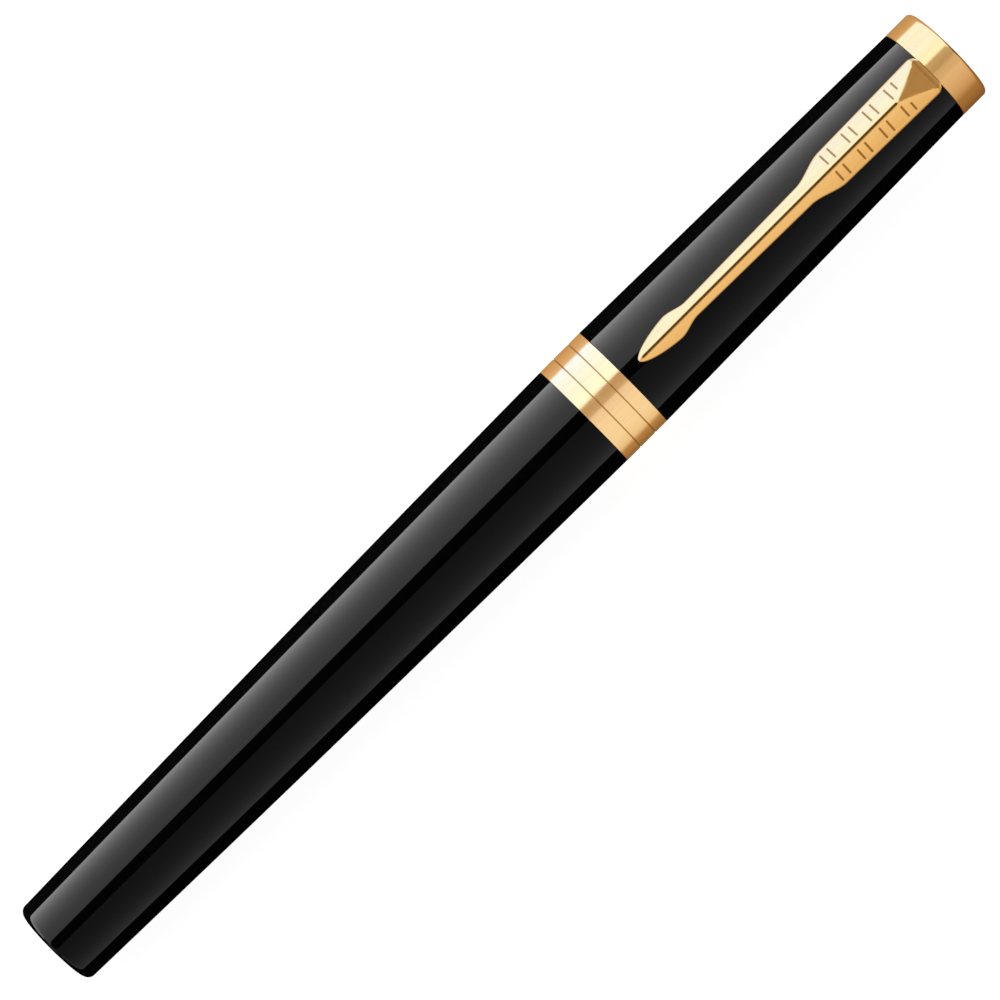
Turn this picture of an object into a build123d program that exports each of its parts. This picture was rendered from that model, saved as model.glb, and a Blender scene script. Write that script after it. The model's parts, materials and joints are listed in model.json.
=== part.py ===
"""A capped rollerball pen, made as the separate pieces it comes apart into.

The pen lies along X with its clip on top. The closed end of the barrel is at -X and the crown of the
cap is at +X. The origin is the middle of the pen's box, on the surface that the pen lies on.
All positions along the pen are distances from the barrel's closed end, in millimetres.
"""
import os

from build123d import *

# Whole pen
LENGTH = 138.0
AXIS_Z = 6.78  # the widest radius, so the pen's side touches z = 0
SLIP = 0.02  # radial gap between pieces glued or pressed together
RUN = 0.05  # gap between pieces that turn or slide past each other

# Barrel
BARREL_LENGTH = 81.74
BARREL_END_R = 5.36
BARREL_MIDDLE = 41.0
BARREL_MIDDLE_R = 6.217
BARREL_MOUTH_R = 6.76
BARREL_CORNER = 1.0
BARREL_END_WALL = 1.5
BARREL_BORE_END_R = 4.7
BARREL_BORE_FRONT_R = 5.95
BUSH_FROM = 66.0
BUSH_TO = 81.3
BUSH_R = 6.13
BUSH_BORE_R = 5.0

# Liner that guides the refill inside the barrel
LINER_FROM = 10.0
LINER_TO = 65.8
LINER_R = 4.2
LINER_BORE_R = 3.35
LINER_COLLARS = (12.0, 37.0, 62.0)
LINER_COLLAR_WIDTH = 3.0

# Spring behind the refill
SEAT_TO = 3.2
SEAT_R = 4.66
SEAT_POST_TO = 5.4
SEAT_POST_R = 1.7
SPRING_R = 2.35
SPRING_WIRE_R = 0.25
SPRING_TURNS = 4

# Refill, a standard 111 mm rollerball refill
REFILL_LENGTH = 111.0
TIP_END = 119.5
REFILL_FROM = TIP_END - REFILL_LENGTH
REFILL_R = 3.05
REFILL_BORE_R = 2.65
PLUG_FLANGE = 0.8
PLUG_LENGTH = 2.0
RESERVOIR_FROM = 11.0
RESERVOIR_TO = 92.5
RESERVOIR_R = 2.6
REFILL_TUBE_TO = 97.4
REFILL_COLLAR_TO = 98.3
REFILL_NECK_TO = 110.0
REFILL_NECK_R = 2.05
REFILL_NOSE_TO = 114.6
REFILL_NOSE_R = 1.55
WICK_R = 0.7
WICK_FROM = 88.0
WICK_TO = 113.0
TIP_FROM = 112.0
TIP_R = 1.15
TIP_CONE_FROM = 116.9
TIP_FEED_R = 0.3
BALL_R = 0.35
BALL_GAP = 0.02

# Thread between the barrel and the section
THREAD_FROM = 73.4
THREAD_TO = 79.8
THREAD_PITCH = 0.8
THREAD_CORE_R = 4.5
THREAD_CREST_R = 4.92
THREAD_CREST_SHARES = (0.4, 0.6)  # where the flat of a ridge begins and ends, as shares of the pitch

# Section
WASHER_FROM = 81.36
WASHER_TO = 81.74
WASHER_R = 6.05
WASHER_BORE_R = 4.98
COUPLER_FROM = 72.6
COUPLER_TO = 90.0
COUPLER_NECK_R = 4.1
COUPLER_BORE_R = 3.35
TRIM_FROM = 81.79
TRIM_TO = 82.9
TRIM_R = 5.8
TRIM_ROUNDING = 0.2
GRIP_TO = 109.5
GRIP_REAR_R = 5.3
GRIP_SHOULDER = 88.0
GRIP_FRONT_R = 4.4
GRIP_STOP = 98.35
GRIP_FRONT_BORE_R = 2.25
GRIP_RINGS = 12
GRIP_RINGS_FROM = 91.0
GRIP_RING_PITCH = 1.2
GRIP_RING_DEPTH = 0.14
SNAP_GROOVE_FROM = 85.0
SNAP_GROOVE_TO = 86.2
SNAP_GROOVE_R = 4.9
FRONT_RING_TO = 110.3
FRONT_RING_R = 4.42
FRONT_RING_ROUNDING = 0.15
NOSE_TO = 117.0
NOSE_REAR_R = 4.25
NOSE_FRONT_R = 1.75
NOSE_ROUNDING = 0.12
NOSE_BORE_R = 1.3
NOSE_STEP = 115.0
NOSE_SPIGOT_FROM = 106.5
NOSE_SPIGOT_R = 3.4
SNAP_RING_R = 5.4
SNAP_RING_INNER_R = 4.98
SNAP_RING_GAP = 1.6
SNAP_RING_ROUNDING = 0.18

# Cap
CAP_FROM = 81.86
BAND_TO = 87.83
CROWN_FROM = 134.34
CAP_R = 6.78
CAP_TOP_R = 6.045
CAP_SPIGOT_R = 6.4  # the reduced end that the band sits on
CAP_BORE_R = 5.95
CAP_STEP_FROM = 112.0
CAP_STEP_TO = 118.0
CAP_TOP_BORE_R = 5.45
BAND_GROOVES = (1.94, 4.19)  # distances of the two fine grooves from the band's lower edge
BAND_GROOVE_WIDTH = 0.16
BAND_GROOVE_DEPTH = 0.1

# Inner cap and its seal
INNER_FROM = 83.3
INNER_BORE_R = 5.48
INNER_SNAP_FROM = 84.8
INNER_SNAP_TO = 86.6
INNER_SNAP_R = 5.65
INNER_TAPER_FROM = 97.0
INNER_TAPER_TO = 110.0
INNER_FRONT_BORE_R = 4.62
INNER_STEP = 113.0
INNER_TOP_R = 4.7
INNER_TIP_BORE_R = 3.5
INNER_CHAMBER_TO = 123.6
INNER_TO = 124.8
SEAL_FROM = 111.2
SEAL_TO = 112.96
SEAL_R = 4.6
SEAL_GAP = 0.12  # between the seal's cone and the nose cone

# Crown, with the carrier and the screw below it
CROWN_R = 6.07
CROWN_CORNER = 0.55
CROWN_SPIGOT_FROM = 133.4
CROWN_SPIGOT_R = 5.43
CROWN_BORE_TO = 136.6
DISC_R = 4.6
DISC_DEPTH = 0.5
CARRIER_FROM = 127.8
CARRIER_TO = 133.3
CARRIER_R = 5.43
SCREW_R = 1.5
SCREW_HEAD_R = 2.7
SCREW_HEAD_FROM = 126.4
SCREW_TO = 136.4
SCREW_SLOT = (0.6, 0.7)  # width and depth

# Clip, with heights measured from the pen's axis
CLIP_TIP = 90.0
CLIP_NOSE = 91.0  # how blunt the leaf-shaped tip begins
CLIP_NOSE_HALF = 0.84
CLIP_LEAF = 95.0  # the tip's widest place
CLIP_LEAF_HALF = 1.58
CLIP_NECK = 98.0
CLIP_NECK_HALF = 1.02
CLIP_SHAFT_END = 115.0
CLIP_SHAFT_END_HALF = 1.27
CLIP_BLADE = 119.6
CLIP_BLADE_HALF = 2.27
CLIP_END = 134.25
CLIP_END_HALF = 2.5
CLIP_CORNER = 0.95
CLIP_ROOF_ANGLE = 29.0
CLIP_RIDGE_TIP_Z = 7.85
CLIP_RIDGE_MIDDLE = 106.0
CLIP_RIDGE_MIDDLE_Z = 8.62
CLIP_RIDGE_END_Z = 8.5
CLIP_HIP = 129.5
CLIP_HIP_END_Z = 7.45
CLIP_UNDER_FRONT = 97.5
CLIP_UNDER_FRONT_Z = 7.3
CLIP_UNDER_REAR_Z = 6.9
CLIP_PAD = 93.2  # where the tip comes closest to the cap
CLIP_PAD_HALF = 1.0
CLIP_PAD_Z = 6.84
CLIP_TIP_LIFT = 0.25  # how much higher the underside is at the tip
CLIP_ROOT = 129.4
CLIP_ROOT_Z = 6.4
CLIP_ROOT_SLOPE = 1.5  # the length of the slope down to the root
CLIP_OVERCUT = 1.0  # how far the cutting shapes reach past the clip
CLIP_FOOT_FROM = 131.2
CLIP_FOOT_TO = 132.8
CLIP_FOOT_HALF = 1.3
CLIP_FOOT_Z = 3.3
CLIP_FOOT_OVERLAP = 0.1  # how far the foot runs into the blade
CLIP_PLAY = 0.3
CLIP_RUN_OUT = 5.0  # how far the ridge is drawn past both ends of the clip
CLIP_RIDGE_DIP = 0.6  # how much lower the ridge is there, at the tip's side

# The side view puts the distance along the pen on its x and the distance from the axis on its y.
# The top view looks down on the pen, with its zero height on the axis.
BARREL_TIP = (-LENGTH / 2, 0, AXIS_Z)
SIDE = Plane(BARREL_TIP, x_dir=(1, 0, 0), z_dir=(0, -1, 0))
TOP = Plane(BARREL_TIP, x_dir=(1, 0, 0), z_dir=(0, 0, 1))
PEN_AXIS = Axis(BARREL_TIP, (1, 0, 0))


def station(distance):
    """The plane across the pen at a distance from the barrel's end, facing the cap."""
    return Plane((distance - LENGTH / 2, 0, AXIS_Z), x_dir=(0, 1, 0), z_dir=(1, 0, 0))


def sleeve(start, end, inner, outer, mode=Mode.ADD):
    """In a side sketch, the section of a plain ring or, with no inner radius, of a disc."""
    with Locations(((start + end) / 2, (inner + outer) / 2)):
        Rectangle(end - start, outer - inner, mode=mode)


def between(distance, start, end):
    """The radius at a distance, on the straight line from start to end, each (distance, radius)."""
    share = (distance - start[0]) / (end[0] - start[0])
    return start[1] + share * (end[1] - start[1])


def barrel_bore(distance):
    return between(distance, (BARREL_END_WALL, BARREL_BORE_END_R), (BUSH_FROM, BARREL_BORE_FRONT_R))


def grip_outside(distance):
    return between(distance, (GRIP_SHOULDER, GRIP_REAR_R), (GRIP_TO, GRIP_FRONT_R))


def nose_outside(distance):
    return between(distance, (FRONT_RING_TO, NOSE_REAR_R), (NOSE_TO, NOSE_FRONT_R))


# ---- Barrel ----------------------------------------------------------------------------------

# Lacquered brass tube: its side is one long arc, its end is closed with a rounded corner
with BuildPart() as barrel_tube:
    with BuildSketch(SIDE):
        with BuildLine():
            side = ThreePointArc(
                (BARREL_CORNER, BARREL_END_R),
                (BARREL_MIDDLE, BARREL_MIDDLE_R),
                (BARREL_LENGTH, BARREL_MOUTH_R),
            )
            RadiusArc((0, BARREL_END_R - BARREL_CORNER), side @ 0, BARREL_CORNER)
            Polyline(
                side @ 1,
                (BARREL_LENGTH, BUSH_R + SLIP),
                (BUSH_FROM, BUSH_R + SLIP),
                (BUSH_FROM, BARREL_BORE_FRONT_R),
                (BARREL_END_WALL, BARREL_BORE_END_R),
                (BARREL_END_WALL, 0),
                (0, 0),
                (0, BARREL_END_R - BARREL_CORNER),
            )
        make_face()
    revolve(axis=PEN_AXIS)

# Plastic sleeve with three collars that centre it in the tapered bore
with BuildPart() as barrel_liner:
    with BuildSketch(SIDE):
        sleeve(LINER_FROM, LINER_TO, LINER_BORE_R, LINER_R)
        for place in LINER_COLLARS:
            sleeve(place, place + LINER_COLLAR_WIDTH, LINER_BORE_R, barrel_bore(place) - SLIP)
    revolve(axis=PEN_AXIS)

# Brass bush in the barrel's mouth, with the relief grooves of its female thread
with BuildPart() as thread_bush:
    with BuildSketch(SIDE):
        sleeve(BUSH_FROM, BUSH_TO, BUSH_BORE_R, BUSH_R)
        for turn in range(round((THREAD_TO - THREAD_FROM) / THREAD_PITCH)):
            groove = THREAD_FROM + turn * THREAD_PITCH
            sleeve(groove, groove + THREAD_PITCH / 2, BUSH_BORE_R, BUSH_BORE_R + RUN, mode=Mode.SUBTRACT)
    revolve(axis=PEN_AXIS)

# Moulded plug at the closed end, with a post inside the spring
with BuildPart() as spring_seat:
    with BuildSketch(SIDE):
        sleeve(BARREL_END_WALL, SEAT_TO, 0, SEAT_R)
        sleeve(SEAT_TO, SEAT_POST_TO, 0, SEAT_POST_R)
    revolve(axis=PEN_AXIS)

# Coil spring between the seat and the refill
spring_from = SEAT_TO + SPRING_WIRE_R + RUN
spring_to = REFILL_FROM - SPRING_WIRE_R - RUN
spring_path = Helix(
    pitch=(spring_to - spring_from) / SPRING_TURNS,
    height=spring_to - spring_from,
    radius=SPRING_R,
    center=(spring_from - LENGTH / 2, 0, AXIS_Z),
    direction=(1, 0, 0),
)
with BuildPart() as refill_spring:
    with BuildSketch(Plane(spring_path @ 0, z_dir=spring_path % 0)):
        Circle(SPRING_WIRE_R)
    sweep(path=spring_path, is_frenet=True)

# ---- Section ---------------------------------------------------------------------------------

# Sealing washer in the barrel's mouth
with BuildPart() as section_washer:
    with BuildSketch(SIDE):
        sleeve(WASHER_FROM, WASHER_TO, WASHER_BORE_R, WASHER_R)
    revolve(axis=PEN_AXIS)

# Threaded brass sleeve: the front half is fixed in the grip, the rear half screws into the bush
with BuildPart() as section_coupler:
    with BuildSketch(SIDE):
        sleeve(COUPLER_FROM, TRIM_TO, COUPLER_BORE_R, THREAD_CORE_R)
        sleeve(TRIM_TO, COUPLER_TO, COUPLER_BORE_R, COUPLER_NECK_R)
        for turn in range(round((THREAD_TO - THREAD_FROM) / THREAD_PITCH)):
            ridge = THREAD_FROM + turn * THREAD_PITCH
            crest_from, crest_to = (ridge + THREAD_PITCH * share for share in THREAD_CREST_SHARES)
            Polygon(
                (ridge, THREAD_CORE_R),
                (crest_from, THREAD_CREST_R),
                (crest_to, THREAD_CREST_R),
                (ridge + THREAD_PITCH, THREAD_CORE_R),
                align=None,
            )
    revolve(axis=PEN_AXIS)

# Gilt ring that closes the step between the barrel and the grip
with BuildPart() as section_trim_ring:
    with BuildSketch(SIDE):
        sleeve(TRIM_FROM, TRIM_TO, THREAD_CORE_R + SLIP, TRIM_R)
    revolve(axis=PEN_AXIS)
    rims = section_trim_ring.edges().filter_by(GeomType.CIRCLE).sort_by(SortBy.RADIUS)[-2:]
    fillet(rims, TRIM_ROUNDING)

# Black grip: a slight taper with fine rings for the fingers, and the groove of the snap ring
with BuildPart() as section_grip:
    with BuildSketch(SIDE):
        Polygon(
            (GRIP_SHOULDER, GRIP_REAR_R),
            (GRIP_TO, GRIP_FRONT_R),
            (GRIP_TO, NOSE_SPIGOT_R + SLIP),
            (NOSE_SPIGOT_FROM, NOSE_SPIGOT_R + SLIP),
            (NOSE_SPIGOT_FROM, GRIP_FRONT_BORE_R),
            (GRIP_STOP, GRIP_FRONT_BORE_R),
            (GRIP_STOP, COUPLER_BORE_R),
            (COUPLER_TO, COUPLER_BORE_R),
            (COUPLER_TO, COUPLER_NECK_R + SLIP),
            (TRIM_TO, COUPLER_NECK_R + SLIP),
            (TRIM_TO, GRIP_REAR_R),
            align=None,
        )
        sleeve(SNAP_GROOVE_FROM, SNAP_GROOVE_TO, SNAP_GROOVE_R, GRIP_REAR_R, mode=Mode.SUBTRACT)
        for index in range(GRIP_RINGS):
            place = GRIP_RINGS_FROM + index * GRIP_RING_PITCH
            bottom = grip_outside(place) - GRIP_RING_DEPTH
            sleeve(place, place + GRIP_RING_PITCH / 3, bottom, GRIP_REAR_R, mode=Mode.SUBTRACT)
    revolve(axis=PEN_AXIS)

# Thin gilt ring in front of the grip
with BuildPart() as section_front_ring:
    with BuildSketch(SIDE):
        sleeve(GRIP_TO, FRONT_RING_TO, NOSE_SPIGOT_R + SLIP, FRONT_RING_R)
    revolve(axis=PEN_AXIS)
    rims = section_front_ring.edges().filter_by(GeomType.CIRCLE).sort_by(SortBy.RADIUS)[-2:]
    fillet(rims, FRONT_RING_ROUNDING)

# Gilt nose cone with a spigot that fits in the grip
with BuildPart() as section_nose:
    with BuildSketch(SIDE):
        Polygon(
            (NOSE_SPIGOT_FROM, REFILL_NECK_R + RUN),
            (NOSE_SPIGOT_FROM, NOSE_SPIGOT_R),
            (FRONT_RING_TO, NOSE_SPIGOT_R),
            (FRONT_RING_TO, NOSE_REAR_R),
            (NOSE_TO, NOSE_FRONT_R),
            (NOSE_TO, NOSE_BORE_R),
            (NOSE_STEP, NOSE_BORE_R),
            (NOSE_STEP, REFILL_NOSE_R + RUN),
            (REFILL_NECK_TO + RUN, REFILL_NOSE_R + RUN),
            (REFILL_NECK_TO + RUN, REFILL_NECK_R + RUN),
            align=None,
        )
    revolve(axis=PEN_AXIS)
    fillet(section_nose.edges().filter_by(GeomType.CIRCLE).sort_by(Axis.X)[-1], NOSE_ROUNDING)

# Split spring ring that the cap clicks over
with BuildPart() as cap_snap_ring:
    with BuildSketch(SIDE):
        sleeve(SNAP_GROOVE_FROM + RUN, SNAP_GROOVE_TO - RUN, SNAP_RING_INNER_R, SNAP_RING_R)
    revolve(axis=PEN_AXIS)
    rims = cap_snap_ring.edges().filter_by(GeomType.CIRCLE).sort_by(SortBy.RADIUS)[-2:]
    fillet(rims, SNAP_RING_ROUNDING)
    with BuildSketch(TOP.offset(-CAP_R)):
        sleeve(SNAP_GROOVE_FROM, SNAP_GROOVE_TO, -SNAP_RING_GAP / 2, SNAP_RING_GAP / 2)
    extrude(amount=CAP_R, mode=Mode.SUBTRACT)

# ---- Refill ----------------------------------------------------------------------------------

# Round tube that holds the ink
with BuildPart() as refill_tube:
    with BuildSketch(SIDE):
        sleeve(REFILL_FROM + PLUG_FLANGE, REFILL_TUBE_TO, REFILL_BORE_R, REFILL_R)
    revolve(axis=PEN_AXIS)

# Plug in the refill's rear end, which the spring pushes on
with BuildPart() as refill_plug:
    with BuildSketch(SIDE):
        sleeve(REFILL_FROM, REFILL_FROM + PLUG_FLANGE, 0, REFILL_R)
        sleeve(REFILL_FROM + PLUG_FLANGE, REFILL_FROM + PLUG_LENGTH, 0, REFILL_BORE_R - SLIP)
    revolve(axis=PEN_AXIS)

# Fibre rod soaked with ink, drilled at the front for the wick
with BuildPart() as refill_reservoir:
    with BuildSketch(SIDE):
        sleeve(RESERVOIR_FROM, WICK_FROM, 0, RESERVOIR_R)
        sleeve(WICK_FROM, RESERVOIR_TO, WICK_R + SLIP, RESERVOIR_R)
    revolve(axis=PEN_AXIS)

# Wick that leads the ink to the ball
with BuildPart() as refill_wick:
    with BuildSketch(SIDE):
        sleeve(WICK_FROM, WICK_TO, 0, WICK_R)
    revolve(axis=PEN_AXIS)

# Stepped plastic front of the refill, with the collar that stops in the grip
with BuildPart() as refill_nose:
    with BuildSketch(SIDE):
        sleeve(RESERVOIR_TO + RUN, REFILL_TUBE_TO, WICK_R + SLIP, REFILL_BORE_R - SLIP)
        sleeve(REFILL_TUBE_TO, REFILL_COLLAR_TO, WICK_R + SLIP, REFILL_R)
        sleeve(REFILL_COLLAR_TO, REFILL_NECK_TO, WICK_R + SLIP, REFILL_NECK_R)
        sleeve(REFILL_NECK_TO, REFILL_NOSE_TO, WICK_R + SLIP, REFILL_NOSE_R)
        sleeve(TIP_FROM - SLIP, REFILL_NOSE_TO, WICK_R, TIP_R + SLIP, mode=Mode.SUBTRACT)
    revolve(axis=PEN_AXIS)

# Steel tip: a cone whose front is turned in over the ball
ball_centre = TIP_END - BALL_R
with BuildPart() as refill_tip:
    with BuildSketch(SIDE):
        Polygon(
            (TIP_FROM, WICK_R + SLIP),
            (TIP_FROM, TIP_R),
            (TIP_CONE_FROM, TIP_R),
            (ball_centre + BALL_R * 0.4, BALL_R + BALL_GAP),
            (ball_centre, TIP_FEED_R),
            (WICK_TO + RUN, TIP_FEED_R),
            (WICK_TO + RUN, WICK_R + SLIP),
            align=None,
        )
    revolve(axis=PEN_AXIS)
    with BuildSketch(SIDE):
        with Locations((ball_centre, 0)):
            Circle(BALL_R + BALL_GAP)
        with Locations((ball_centre, -BALL_R)):
            Rectangle(BALL_R * 4, BALL_R * 2, mode=Mode.SUBTRACT)
    revolve(axis=PEN_AXIS, mode=Mode.SUBTRACT)

# The ball that rolls the ink on
with BuildPart(Plane(PEN_AXIS.position + (ball_centre, 0, 0))) as writing_ball:
    Sphere(BALL_R)

# ---- Cap -------------------------------------------------------------------------------------

# Lacquered brass tube, reduced at the mouth for the band, with a slot for the clip's foot
with BuildPart() as cap_tube:
    with BuildSketch(SIDE):
        Polygon(
            (CAP_FROM + SLIP, CAP_BORE_R),
            (CAP_FROM + SLIP, CAP_SPIGOT_R),
            (BAND_TO, CAP_SPIGOT_R),
            (BAND_TO, CAP_R),
            (CROWN_FROM, CAP_TOP_R),
            (CROWN_FROM, CAP_TOP_BORE_R),
            (CAP_STEP_TO, CAP_TOP_BORE_R),
            (CAP_STEP_FROM, CAP_BORE_R),
            align=None,
        )
    revolve(axis=PEN_AXIS)
    with BuildSketch(TOP):
        slot_half = CLIP_FOOT_HALF + CLIP_PLAY
        sleeve(CLIP_FOOT_FROM - CLIP_PLAY, CLIP_FOOT_TO + CLIP_PLAY, -slot_half, slot_half)
    extrude(amount=CAP_R, mode=Mode.SUBTRACT)

# Wide gilt band with two fine grooves
with BuildPart() as cap_band:
    with BuildSketch(SIDE):
        sleeve(CAP_FROM, BAND_TO - SLIP, CAP_SPIGOT_R + SLIP, CAP_R)
        for groove in BAND_GROOVES:
            start = CAP_FROM + groove - BAND_GROOVE_WIDTH / 2
            sleeve(start, start + BAND_GROOVE_WIDTH, CAP_R - BAND_GROOVE_DEPTH, CAP_R, mode=Mode.SUBTRACT)
    revolve(axis=PEN_AXIS)

# Inner cap: the snap groove at its mouth, a taper and a closed chamber around the writing tip
with BuildPart() as cap_inner:
    with BuildSketch(SIDE):
        Polygon(
            (INNER_FROM, CAP_BORE_R - SLIP),
            (INNER_FROM, INNER_BORE_R),
            (INNER_TAPER_FROM, INNER_BORE_R),
            (INNER_TAPER_TO, INNER_FRONT_BORE_R),
            (INNER_STEP, INNER_FRONT_BORE_R),
            (INNER_STEP, INNER_TIP_BORE_R),
            (INNER_CHAMBER_TO, INNER_TIP_BORE_R),
            (INNER_CHAMBER_TO, 0),
            (INNER_TO, 0),
            (INNER_TO, INNER_TOP_R),
            (INNER_STEP, INNER_TOP_R),
            (CAP_STEP_FROM, CAP_BORE_R - SLIP),
            align=None,
        )
        sleeve(INNER_SNAP_FROM, INNER_SNAP_TO, INNER_BORE_R, INNER_SNAP_R, mode=Mode.SUBTRACT)
    revolve(axis=PEN_AXIS)

# Soft ring that closes round the nose cone and keeps the ink from drying
with BuildPart() as cap_seal:
    with BuildSketch(SIDE):
        Polygon(
            (SEAL_FROM, SEAL_R),
            (SEAL_FROM, nose_outside(SEAL_FROM) + SEAL_GAP),
            (SEAL_TO, nose_outside(SEAL_TO) + SEAL_GAP),
            (SEAL_TO, SEAL_R),
            align=None,
        )
    revolve(axis=PEN_AXIS)

# Gilt crown with a spigot in the tube and a blind hole for the screw
with BuildPart() as crown:
    with BuildSketch(SIDE):
        Polygon(
            (CROWN_SPIGOT_FROM, SCREW_R),
            (CROWN_SPIGOT_FROM, CROWN_SPIGOT_R),
            (CROWN_FROM + SLIP, CROWN_SPIGOT_R),
            (CROWN_FROM + SLIP, CROWN_R),
            (LENGTH, CROWN_R),
            (LENGTH, DISC_R + SLIP),
            (LENGTH - DISC_DEPTH, DISC_R + SLIP),
            (LENGTH - DISC_DEPTH, 0),
            (CROWN_BORE_TO, 0),
            (CROWN_BORE_TO, SCREW_R),
            align=None,
        )
    revolve(axis=PEN_AXIS)
    end_circles = crown.edges().filter_by(GeomType.CIRCLE).group_by(Axis.X)[-1]
    fillet(end_circles.sort_by(SortBy.RADIUS)[-1], CROWN_CORNER)

# Flat inlay in the crown's end
with BuildPart() as crown_disc:
    with BuildSketch(SIDE):
        sleeve(LENGTH - DISC_DEPTH, LENGTH - RUN, 0, DISC_R)
    revolve(axis=PEN_AXIS)

# Block in the top of the cap, with a pocket for the clip's foot
with BuildPart() as clip_carrier:
    with BuildSketch(SIDE):
        sleeve(CARRIER_FROM, CARRIER_TO, SCREW_R + RUN, CARRIER_R)
    revolve(axis=PEN_AXIS)
    with BuildSketch(TOP.offset(CLIP_FOOT_Z - CLIP_PLAY)):
        pocket_half = CLIP_FOOT_HALF + CLIP_PLAY
        sleeve(CLIP_FOOT_FROM - CLIP_PLAY, CARRIER_TO, -pocket_half, pocket_half)
    extrude(amount=CARRIER_R, mode=Mode.SUBTRACT)

# Slotted screw that clamps the crown, the tube and the carrier
with BuildPart() as crown_screw:
    with BuildSketch(SIDE):
        sleeve(SCREW_HEAD_FROM, CARRIER_FROM, 0, SCREW_HEAD_R)
        sleeve(CARRIER_FROM, SCREW_TO, 0, SCREW_R - SLIP)
    revolve(axis=PEN_AXIS)
    slot_width, slot_depth = SCREW_SLOT
    with BuildSketch(station(SCREW_HEAD_FROM)):
        Rectangle(2 * SCREW_HEAD_R, slot_width)
    extrude(amount=slot_depth, mode=Mode.SUBTRACT)

# ---- Clip ------------------------------------------------------------------------------------

# The roof: an arched ridge whose two facets fall away evenly to the sides. It is cut to the clip's
# outline seen from above, to the hip at its end and to the hollow below it.
ridge_from = CLIP_TIP - CLIP_RUN_OUT
ridge_to = CLIP_END + CLIP_RUN_OUT
with BuildPart() as clip:
    with BuildSketch(SIDE):
        with BuildLine():
            ridge = ThreePointArc(
                (ridge_from, CLIP_RIDGE_TIP_Z - CLIP_RIDGE_DIP),
                (CLIP_RIDGE_MIDDLE, CLIP_RIDGE_MIDDLE_Z),
                (ridge_to, CLIP_RIDGE_END_Z),
            )
            Polyline(ridge @ 1, (ridge_to, 0), (ridge_from, 0), ridge @ 0)
        make_face()
    extrude(amount=CLIP_END_HALF * 1.2, both=True, taper=CLIP_ROOF_ANGLE)

    with BuildSketch(TOP):
        with BuildLine():
            leaf = Spline(
                (CLIP_TIP, 0),
                (CLIP_NOSE, CLIP_NOSE_HALF),
                (CLIP_LEAF, CLIP_LEAF_HALF),
                (CLIP_NECK, CLIP_NECK_HALF),
                tangents=((0, 1), (1, 0)),
            )
            shaft = Line(leaf @ 1, (CLIP_SHAFT_END, CLIP_SHAFT_END_HALF))
            flare = Spline(shaft @ 1, (CLIP_BLADE, CLIP_BLADE_HALF), tangents=((1, 0.02), (1, 0.02)))
            blade = Line(flare @ 1, (CLIP_END - CLIP_CORNER, CLIP_END_HALF))
            corner = RadiusArc(blade @ 1, (CLIP_END, CLIP_END_HALF - CLIP_CORNER), CLIP_CORNER)
            Line(corner @ 1, (CLIP_END, 0))
            mirror(about=Plane.XZ)
        make_face()
    extrude(amount=2 * CAP_R, mode=Mode.INTERSECT)

    with BuildSketch(SIDE):
        hip = ridge @ ((CLIP_HIP - ridge_from) / (ridge_to - ridge_from))
        Polygon(
            (hip.X, hip.Y),
            (CLIP_END, CLIP_HIP_END_Z),
            (ridge_to, CLIP_HIP_END_Z),
            (ridge_to, CLIP_RIDGE_MIDDLE_Z + CLIP_OVERCUT),
            (hip.X, CLIP_RIDGE_MIDDLE_Z + CLIP_OVERCUT),
            align=None,
        )
        Polygon(
            (CLIP_TIP - CLIP_OVERCUT, 0),
            (CLIP_TIP - CLIP_OVERCUT, CLIP_PAD_Z + CLIP_TIP_LIFT),
            (CLIP_TIP, CLIP_PAD_Z + CLIP_TIP_LIFT),
            (CLIP_PAD - CLIP_PAD_HALF, CLIP_PAD_Z),
            (CLIP_PAD + CLIP_PAD_HALF, CLIP_PAD_Z),
            (CLIP_UNDER_FRONT, CLIP_UNDER_FRONT_Z),
            (CLIP_ROOT - CLIP_ROOT_SLOPE, CLIP_UNDER_REAR_Z),
            (CLIP_ROOT, CLIP_ROOT_Z),
            (CLIP_END + CLIP_OVERCUT, CLIP_ROOT_Z),
            (CLIP_END + CLIP_OVERCUT, 0),
            align=None,
        )
    extrude(amount=CLIP_END_HALF * 2, both=True, mode=Mode.SUBTRACT)

    with BuildSketch(TOP.offset(CLIP_FOOT_Z)):
        sleeve(CLIP_FOOT_FROM, CLIP_FOOT_TO, -CLIP_FOOT_HALF, CLIP_FOOT_HALF)
    extrude(amount=CLIP_ROOT_Z - CLIP_FOOT_Z + CLIP_FOOT_OVERLAP)

# ---- Files -----------------------------------------------------------------------------------

pieces = {
    "barrel_tube": barrel_tube,
    "barrel_liner": barrel_liner,
    "thread_bush": thread_bush,
    "spring_seat": spring_seat,
    "refill_spring": refill_spring,
    "section_washer": section_washer,
    "section_coupler": section_coupler,
    "section_trim_ring": section_trim_ring,
    "section_grip": section_grip,
    "section_front_ring": section_front_ring,
    "section_nose": section_nose,
    "cap_snap_ring": cap_snap_ring,
    "refill_tube": refill_tube,
    "refill_plug": refill_plug,
    "refill_reservoir": refill_reservoir,
    "refill_wick": refill_wick,
    "refill_nose": refill_nose,
    "refill_tip": refill_tip,
    "writing_ball": writing_ball,
    "cap_tube": cap_tube,
    "cap_band": cap_band,
    "cap_inner": cap_inner,
    "cap_seal": cap_seal,
    "crown": crown,
    "crown_disc": crown_disc,
    "crown_screw": crown_screw,
    "clip_carrier": clip_carrier,
    "clip": clip,
}
os.makedirs("parts", exist_ok=True)
for node, piece in pieces.items():
    piece.part.label = node
    export_step(piece.part, f"parts/{node}.step")
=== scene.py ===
"""The looks of a capped rollerball pen: black lacquer and gilt trim, seen from above in a soft studio."""

import json
from math import atan2, cos, hypot, pi, radians, sin, sqrt, tan

import bmesh
import bpy
from mathutils import Matrix, Vector

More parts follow.
